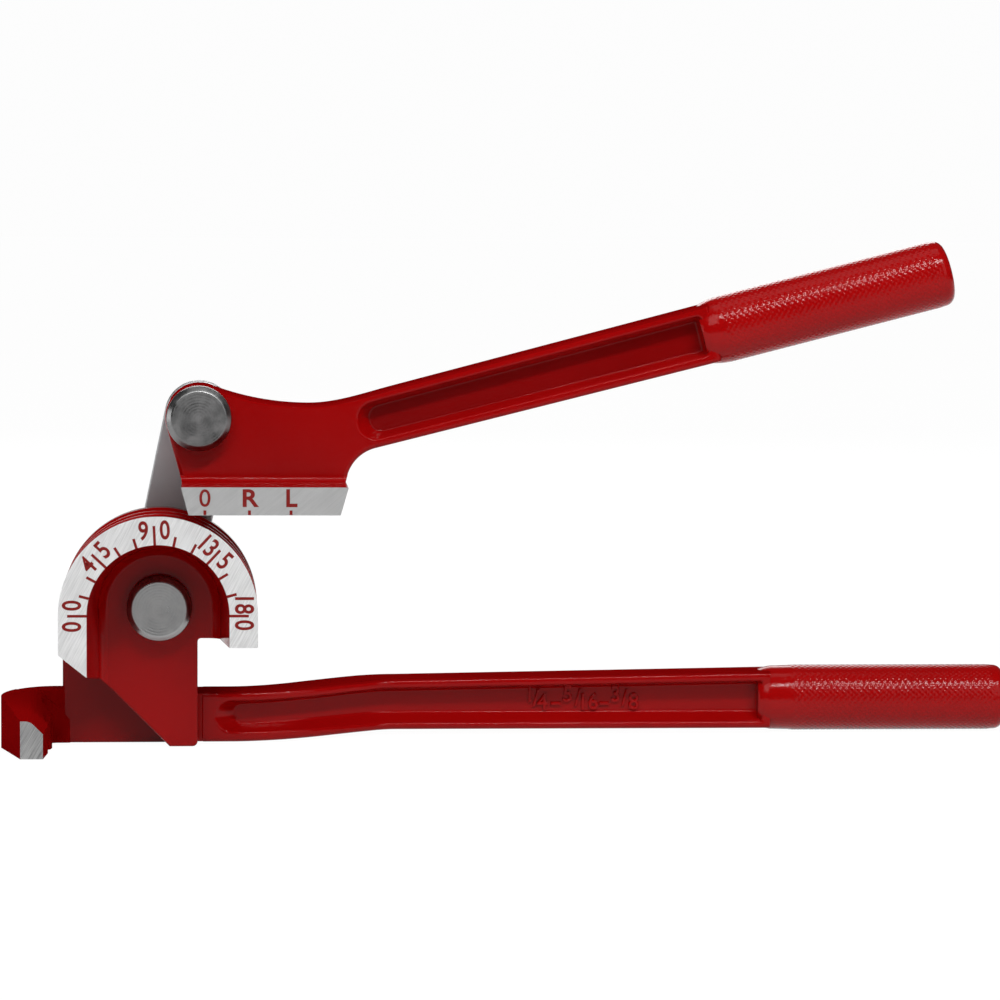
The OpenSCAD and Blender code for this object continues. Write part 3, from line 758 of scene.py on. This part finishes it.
for face in pockets:
    wall = bmesh.ops.inset_region(bm, faces=[face], thickness=pocket_draft, depth=-pocket_depth,
                                  use_even_offset=True, use_boundary=True)["faces"]
    rims += [e for e in bm.edges if len({f in wall for f in e.link_faces}) == 2]
    # The pocket's floor takes the enamel that is painted darker as shade
    face.material_index = 1
    # The wall at the neck slopes more than the others
    for vertex in face.verts:
        from_pin = Vector((vertex.co.x - shoe_pin_x, vertex.co.z - shoe_pin_z))
        if from_pin.dot(arm_along) < arm_pocket_left + neck_reach:
            vertex.co += arm_end_slope * Vector((arm_along.x, 0, arm_along.y))
round_edges(bm, rims, radius=0.5, clamp=False)
bmesh.ops.recalc_face_normals(bm, faces=bm.faces)
# On top the enamel is dull and painted darker as shade, as on the fixed bar
for face in bm.faces:
    middle = face.calc_center_median()
    from_pin = Vector((middle.x - shoe_pin_x, middle.z - shoe_pin_z))
    if face.normal.z > 0.5 and from_pin.dot(arm_across) + arm_offset > arm_root_half - arm_top_band:
        face.material_index = 2
make_piece(bm, "moving_arm_cast", [red_enamel, painted_shade_enamel, dull_painted_shade_enamel], "moving_lever", ["moving_arm"])


# The bend shoe stands out from the neck across the wheel's three grooves, and has half
# of each tube's round underneath. Its front end is ground bare like the dial.
shoe_drop = 22.1
shoe_cut = 1.9
fillet_r = 1.3
# Behind the neck's front the shoe's top rises into the casting, more in front than at the back
rise_front, rise_back = 2.0, 0.5
shoe_face_z = shoe_pin_z - shoe_drop
shoe_top_z = shoe_pin_z + strip_z
bm = bmesh.new()
first = bm.verts.new((0, dial_y, shoe_top_z))
pen = line_to(bm, first, (0, dial_y, shoe_face_z))
for groove_y, groove_r in reversed(tube_grooves):
    pen = line_to(bm, pen, (0, groove_y - groove_r, shoe_face_z))
    pen = arc_to(bm, pen, (0, groove_y, shoe_face_z), (1, 0, 0), -pi, steps=18)
pen = line_to(bm, pen, (0, shoe_back_y, shoe_face_z), (0, shoe_back_y, shoe_top_z + rise_back),
              (0, web_y + 1, shoe_top_z + rise_front), (0, web_y, shoe_top_z + fillet_r))
pen = arc_to(bm, pen, (0, web_y - fillet_r, shoe_top_z + fillet_r), (1, 0, 0), -pi / 2, steps=6)
bm.edges.new((pen, first))
bmesh.ops.remove_doubles(bm, verts=bm.verts, dist=1e-3)
far = draw_out(bm, (shoe_reach, 0, 0))
# The near end leans with the neck, and the far end is cut back towards the grooves
for vertex in bm.verts:
    if vertex in far:
        share = (shoe_top_z - vertex.co.z) / (shoe_top_z - shoe_face_z)
        vertex.co.x = shoe_pin_x + shoe_reach - shoe_cut * share
    else:
        drop = vertex.co.z - shoe_pin_z
        vertex.co.x = shoe_pin_x - boss_r / cos(neck_lean) - drop * tan(neck_lean)
bmesh.ops.recalc_face_normals(bm, faces=bm.faces)
behind = [e for e in sharp_edges(bm, angle=40) if max(v.co.y for v in e.verts) > dial_y + 0.1]
round_edges(bm, behind, radius=0.3, segments=2)
bmesh.ops.recalc_face_normals(bm, faces=bm.faces)
bare_front(bm)
make_piece(bm, "bend_shoe_cast", [red_enamel, ground_strip], "moving_lever", ["bend_shoe"])


# The link is a flat bar of zinc-plated steel with round ends, punched out and tumbled.
# It lies behind both castings and carries the shoe round the wheel.
def zinc_plate_material():
    """Dull grey zinc plating with a faint cloud and fine rolling lines."""
    material, shader, place = new_material("zinc_plate")
    cloud = place.take(place.node("TexNoise", in0=place, Scale=120.0, Detail=4.0), "Fac")
    grain = place.take(place.node("TexNoise", in0=place, Scale=2500.0, Detail=2.0), "Fac")
    shade = cloud.mix((0.40, 0.40, 0.41), (0.52, 0.52, 0.53))
    bump = place.node("Bump", Strength=0.15, Distance=0.00005, Height=grain)
    drive(shader, Base_Color=shade, Metallic=0.85, Roughness=0.38 + 0.2 * cloud,
          Normal=place.take(bump, "Normal"))
    return material


zinc_plate = zinc_plate_material()
link_front_y = 2.95
link_back_y = 6.95
link_r = 8.5
link_lean = radians(11.7)
link_side = link_r * Vector((cos(link_lean), -sin(link_lean)))
bm = bmesh.new()
first = bm.verts.new((-link_side.x, link_front_y, axis_z - link_side.y))
pen = line_to(bm, first, (shoe_pin_x - link_side.x, link_front_y, shoe_pin_z - link_side.y))
pen = arc_to(bm, pen, (shoe_pin_x, link_front_y, shoe_pin_z), (0, 1, 0), pi, steps=32)
pen = line_to(bm, pen, (link_side.x, link_front_y, axis_z + link_side.y))
pen = arc_to(bm, pen, (0, link_front_y, axis_z), (0, 1, 0), pi, steps=32)
bmesh.ops.remove_doubles(bm, verts=bm.verts, dist=1e-3)
draw_out(bm, (0, link_back_y - link_front_y, 0))
round_edges(bm, sharp_edges(bm), radius=0.45)
make_piece(bm, "link_bar", [zinc_plate], "link", ["link_plate"])


# Two turned steel pins are the axes. Each has a wide head with a bevel at the front and
# a groove for a retaining ring at the back.
def turned_steel_material(name, x, z, dark, light):
    """Steel faced on a lathe about an axis, dulled in places by handling."""
    material, shader, place = new_material(name)
    cloud = place.take(place.node("TexNoise", in0=place, Scale=260.0, Detail=6.0, Roughness=0.65), "Fac")
    patch = place.take(place.node("MapRange", in0=cloud, in1=0.35, in2=0.65), 0)
    away = place.node("VectorMath", {"operation": "SUBTRACT"}, in0=place, in1=(x, 0.0, z))
    flat = place.node("VectorMath", {"operation": "MULTIPLY"}, in0=place.take(away, 0), in1=(1.0, 0.0, 1.0))
    radius = place.take(place.node("VectorMath", {"operation": "LENGTH"}, in0=place.take(flat, 0)), 1)
    marks = radius.maths("SINE", radius * 9000.0)
    shade = patch.mix((dark, dark, dark), (light, light, light))
    bump = place.node("Bump", Strength=0.12, Distance=0.00004, Height=marks + 3.0 * cloud)
    drive(shader, Base_Color=shade, Metallic=1.0, Roughness=0.26 + 0.22 * patch,
          Normal=place.take(bump, "Normal"))
    return material


head_r = 7.9
head_front_y = -14.97
head_bevel = 1.2
head_back_y = web_y - 0.1
# Radius and depth of the shallow dish that facing leaves in the head
head_dish = ((0.0, 0.12), (1.2, 0.12), (4.6, 0.05))
pin_r = 4.0
ring_y = 7.95
ring_t = 0.8
ring_groove_r = pin_r - 0.5
tail_y = 9.75
tail_bevel = 0.4
# The shoe pin's steel is painted darker than the wheel pin's, as painted shade on the same steel
pins = (("wheel_pin", 0.0, axis_z, 0.28, 0.37), ("shoe_pin", shoe_pin_x, shoe_pin_z, 0.17, 0.26))
pin_steels = []
for name, x, z, dark, light in pins:
    dish = [(radius, head_front_y + depth, 0) for radius, depth in head_dish]
    bm = bmesh.new()
    first = bm.verts.new(dish[0])
    pen = line_to(bm, first, *dish[1:])
    line_to(bm, pen, (head_r - head_bevel, head_front_y, 0), (head_r, head_front_y + head_bevel, 0),
            (head_r, head_back_y, 0), (pin_r, head_back_y, 0), (pin_r, ring_y, 0),
            (ring_groove_r, ring_y, 0), (ring_groove_r, ring_y + ring_t, 0), (pin_r, ring_y + ring_t, 0),
            (pin_r, tail_y - tail_bevel, 0), (pin_r - tail_bevel, tail_y, 0), (0, tail_y, 0))
    bevel_ends = [v for v in bm.verts if v.co.x > head_r - head_bevel - 0.01 and v.co.y < web_y - 1]
    round_corners(bm, bevel_ends, radius=0.3)
    bmesh.ops.spin(bm, geom=bm.verts[:] + bm.edges[:], cent=(0, 0, 0), axis=(0, 1, 0), angle=2 * pi,
                   steps=64, use_merge=True)
    bmesh.ops.remove_doubles(bm, verts=bm.verts, dist=1e-4)
    bmesh.ops.recalc_face_normals(bm, faces=bm.faces)
    bmesh.ops.translate(bm, verts=bm.verts, vec=(x, 0, z))
    pin_steels.append(turned_steel_material(name + "_steel", x * 0.001, z * 0.001, dark, light))
    make_piece(bm, name + "_turned", pin_steels[-1:], "link", [name])

# The washers and the retaining rings keep the shape of the drawing, because nothing of
# them shows from the front. They only get their metal.
for name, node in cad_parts.items():
    if name.endswith(("washer", "retaining_ring")):
        node.data.materials.clear()
        node.data.materials.append(zinc_plate if "washer" in name else pin_steels[0])


# The dial's scale runs from 0 to 180 in steps of 15, with a long line and its figures at
# every 45. The shoe has three marks to read it by. All of it is cast in and left red.
def mark_red_material():
    """Enamel left in the sunk figures after grinding: matt and a little brown."""
    material, shader, place = new_material("mark_red")
    cloud = place.take(place.node("TexNoise", in0=place, Scale=700.0, Detail=3.0), "Fac")
    shade = cloud.mix((0.15, 0.009, 0.008), (0.28, 0.016, 0.014))
    drive(shader, Base_Color=shade, Roughness=0.55 + 0.2 * cloud, Specular_IOR_Level=0.15)
    return material


mark_red = mark_red_material()
# Height of a figure as a share of the typeface's size, and the thickness of painted marks
cap_share = 0.72
paint_t = 0.05


def text_mesh(words, height, swell=0.12, depth=0.0, soft=0.0):
    """Figures as a mesh in the picture plane, centred on the origin."""
    curve = bpy.data.curves.new("figures", "FONT")
    curve.body = words
    curve.align_x = "CENTER"
    curve.align_y = "CENTER"
    curve.size = height / cap_share
    curve.offset = swell
    curve.extrude = depth
    curve.bevel_depth = soft
    curve.bevel_resolution = 1
    holder = bpy.data.objects.new("figures", curve)
    bpy.context.scene.collection.objects.link(holder)
    bpy.context.view_layer.update()
    mesh = bpy.data.meshes.new_from_object(holder.evaluated_get(bpy.context.evaluated_depsgraph_get()))
    bm = bmesh.new()
    bm.from_mesh(mesh)
    bpy.data.objects.remove(holder)
    bpy.data.curves.remove(curve)
    bpy.data.meshes.remove(mesh)
    bmesh.ops.rotate(bm, verts=bm.verts, cent=(0, 0, 0), matrix=Matrix.Rotation(pi / 2, 3, "X"))
    return bm


def add_mark(bm, part, place, turn=0.0, stretch=1.0):
    """Adds a mark, narrowed, turned clockwise and put at a place, and frees it."""
    bmesh.ops.scale(part, vec=(stretch, 1, 1), verts=part.verts)
    bmesh.ops.rotate(part, verts=part.verts, cent=(0, 0, 0), matrix=Matrix.Rotation(turn, 3, "Y"))
    bmesh.ops.translate(part, verts=part.verts, vec=place)
    mesh = bpy.data.meshes.new("mark")
    part.to_mesh(mesh)
    part.free()
    bm.from_mesh(mesh)
    bpy.data.meshes.remove(mesh)


def stroke(length, width):
    """An upright line with its foot at the origin."""
    part = bmesh.new()
    bmesh.ops.create_grid(part, x_segments=1, y_segments=1, size=0.5)
    bmesh.ops.scale(part, vec=(width, length, 1), verts=part.verts)
    bmesh.ops.translate(part, vec=(0, length / 2, 0), verts=part.verts)
    bmesh.ops.rotate(part, verts=part.verts, cent=(0, 0, 0), matrix=Matrix.Rotation(pi / 2, 3, "X"))
    return part


def thicken(bm):
    """Gives flat marks the thickness of paint, back into the ground face."""
    bmesh.ops.remove_doubles(bm, verts=bm.verts, dist=1e-3)
    grown = bmesh.ops.extrude_face_region(bm, geom=bm.faces[:], use_keep_orig=True)["geom"]
    bmesh.ops.translate(bm, verts=verts_in(grown), vec=(0, paint_t, 0))
    bmesh.ops.recalc_face_normals(bm, faces=bm.faces)


figure_r = 20.3
figure_h = 4.5
figure_stretch = 0.8
long_line, short_line, line_w = 4.6, 2.4, 0.65
# The scale was sunk a little to the left: the angle by which the line at 90 lags
scale_lag = 2.7
# Each figure with its distance from the long line
dial_figures = {0: (("0", -2.55), ("0", 2.55)), 45: (("4", -2.45), ("5", 2.6)),
                90: (("9", -2.55), ("0", 2.55)), 135: (("1", -4.1), ("3", -1.9), ("5", 2.6)),
                180: (("1", -4.2), ("8", -1.7), ("0", 2.2))}
centre = Vector((0, dial_y, axis_z))
bm = bmesh.new()
for reading in range(0, 181, 15):
    turn = radians(reading - 90 - scale_lag * sin(radians(reading)))
    outward = Vector((sin(turn), 0, cos(turn)))
    along = Vector((cos(turn), 0, -sin(turn)))
    length = long_line if reading % 45 == 0 else short_line
    add_mark(bm, stroke(length, line_w), centre + outward * recess_r, turn)
    for words, offset in dial_figures.get(reading, ()):
        place = centre + outward * figure_r + along * offset
        add_mark(bm, text_mesh(words, figure_h), place, turn, figure_stretch)
thicken(bm)
make_piece(bm, "dial_figures", [mark_red], "fixed_tool")

# The shoe's three marks are cast into its ground strip, each over a short line at the
# lower edge. They are left red like the dial's.
letter_h = 4.2
letter_z = shoe_face_z + 3.9
tick_h, tick_w = 1.1, 0.7
tick_z = shoe_face_z + 0.1
# Letter, place along the shoe, and how much heavier and wider it is than the typeface
letters = (("0", 11.1, 0.05, 1.0), ("R", 21.7, 0.14, 1.12), ("L", 31.6, 0.16, 1.0))
bm = bmesh.new()
for words, x, swell, stretch in letters:
    add_mark(bm, text_mesh(words, letter_h, swell), Vector((x, dial_y, letter_z)), 0.0, stretch)
    add_mark(bm, stroke(tick_h, tick_w), Vector((x, dial_y, tick_z)))
thicken(bm)
make_piece(bm, "shoe_marks", [mark_red], "moving_lever")

# The three tube sizes stand out from the floor of the fixed bar's pocket, with a dash
# between them. They are cast with the bar, and the same enamel covers them.
size_y = plate_front_y + crank_depth + pocket_depth
size_z = 8.4
size_h = 4.2
size_lift = 1.0
dash_drop = 0.8
raised = {"swell": -0.1, "depth": 0.35, "soft": 0.3}
# Upper and lower figures, place along the bar, and their distance from the stroke
tube_sizes = (("1", "4", 94.4, 1.6), ("5", "16", 105.0, 2.6), ("3", "8", 116.9, 2.3))
bm = bmesh.new()
for above, below, x, apart in tube_sizes:
    for words, offset, lift in ((above, -apart, size_lift), ("/", 0.0, 0.0), (below, apart, -size_lift)):
        part = text_mesh(words, size_h, **raised)
        add_mark(bm, part, Vector((x + offset, size_y, size_z + lift)), stretch=0.9)
for x in (99.4, 111.7):
    add_mark(bm, text_mesh("-", size_h, **raised), Vector((x, size_y, size_z - dash_drop)), stretch=1.4)
make_piece(bm, "size_marks", [red_enamel], "fixed_tool")


# The tool stands on a white sheet in front of a white wall, between soft boxes all round.
# The sheet loses its own light towards the camera, so that faces turned to the front
# reflect little and stay a deep red.
fade_start_y = -0.6
fade_end_y = -1.0
# Left under white, so that what the lamps add doesn't clip
headroom = 0.02


def white_material(name, share):
    """White in the picture and in reflections, by a share of its own light."""
    material, shader, place = new_material(name)
    drive(shader, Base_Color=(0.85, 0.85, 0.85, 1.0), Roughness=0.9)
    rays = place.node("LightPath")
    reflected = place.take(rays, "Is Glossy Ray") + place.take(rays, "Is Transmission Ray")
    seen = place.take(rays, "Is Camera Ray") + reflected
    bright = place.node("Emission", Color=(1.0, 1.0, 1.0, 1.0), Strength=1.0 / (share + headroom))
    depth = place.take(place.node("SeparateXYZ", in0=place), "Y")
    near = place.take(place.node("MapRange", in0=depth, in1=fade_end_y, in2=fade_start_y), 0)
    blend = place.node("MixShader", in0=share * near * seen, in1=place.take(shader, 0),
                       in2=place.take(bright, 0))
    tree = material.node_tree
    tree.links.new(blend.outputs[0], tree.nodes["Material Output"].inputs["Surface"])
    return material


def stage_sheet(name, corners, material):
    """A flat sheet that belongs to the picture, not to the tool."""
    bm = bmesh.new()
    bm.faces.new([bm.verts.new(corner) for corner in corners])
    mesh = bpy.data.meshes.new(name)
    bm.to_mesh(mesh)
    bm.free()
    mesh.materials.append(material)
    sheet = bpy.data.objects.new(name, mesh)
    bpy.context.scene.collection.objects.link(sheet)


# The stage is in metres
sheet_z = -0.0003
near_y, wall_y = -8.0, 16.0
left_x, right_x = -8.0, 8.0
wall_top = 1.12
wall_foot = -0.1
bench_corners = [(left_x, near_y, sheet_z), (right_x, near_y, sheet_z), (right_x, wall_y, sheet_z),
                 (left_x, wall_y, sheet_z)]
stage_sheet("bench_sheet", bench_corners, white_material("white_sheet", share=0.93))
wall_corners = [(left_x, wall_y, wall_foot), (right_x, wall_y, wall_foot), (right_x, wall_y, wall_top),
                (left_x, wall_y, wall_top)]
stage_sheet("white_wall", wall_corners, white_material("white_wall", share=1.0))

world = bpy.data.worlds.new("studio")
bpy.context.scene.world = world
world.use_nodes = True
world.node_tree.nodes["Background"].inputs["Color"].default_value = (1.0, 1.0, 1.0, 1.0)
world.node_tree.nodes["Background"].inputs["Strength"].default_value = 0.05


lit_point = Vector((0.08, 0.0, 0.05))


def soft_box(name, azimuth, height, distance, size, power):
    """A flat lamp turned to the tool, at an angle to the right and a height, in degrees."""
    lamp = bpy.data.lights.new(name, "AREA")
    lamp.shape = "RECTANGLE"
    lamp.size, lamp.size_y = size
    lamp.energy = power
    holder = bpy.data.objects.new(name, lamp)
    side, up = radians(azimuth), radians(height)
    away = Vector((sin(side) * cos(up), -cos(side) * cos(up), sin(up)))
    holder.location = lit_point + distance * away
    holder.rotation_euler = away.to_track_quat("Z", "Y").to_euler()
    bpy.context.scene.collection.objects.link(holder)


soft_box("key_box", azimuth=18, height=50, distance=1.2, size=(0.72, 0.09), power=8.2)
soft_box("left_box", azimuth=-27, height=42, distance=1.0, size=(0.40, 0.60), power=2.3)
soft_box("right_box", azimuth=33, height=22, distance=1.0, size=(0.46, 0.70), power=1.3)
soft_box("rim_box", azimuth=-85, height=6, distance=0.9, size=(0.6, 0.3), power=1.4)
soft_box("top_box", azimuth=0, height=88, distance=0.8, size=(0.5, 0.4), power=0.6)
soft_box("back_box", azimuth=180, height=25, distance=1.2, size=(0.7, 0.4), power=3.0)

# The camera stands where the photograph was taken from, a little to the right of the dial
# and above it. Its focal length comes from a fit to the picture.
focal_px = 3819
picture_px = 1000
camera_place = (0.0135, -0.9403, 0.1314)
camera_data = bpy.data.cameras.new("camera")
camera_data.sensor_width = 36.0
camera_data.lens = focal_px / picture_px * camera_data.sensor_width
camera_data.clip_end = 20.0
camera = bpy.data.objects.new("camera", camera_data)
yaw, pitch, roll = radians(4.28), radians(4.34), radians(0.38)
ahead = Vector((sin(yaw) * cos(pitch), cos(yaw) * cos(pitch), -sin(pitch)))
level = Vector((cos(yaw), -sin(yaw), 0))
upright = level.cross(ahead)
right = cos(roll) * level + sin(roll) * upright
above = cos(roll) * upright - sin(roll) * level
facing = Matrix((right, above, -ahead)).transposed().to_4x4()
camera.matrix_world = Matrix.Translation(camera_place) @ facing
bpy.context.scene.collection.objects.link(camera)
bpy.context.scene.camera = camera
bpy.context.scene.view_settings.view_transform = "Standard"
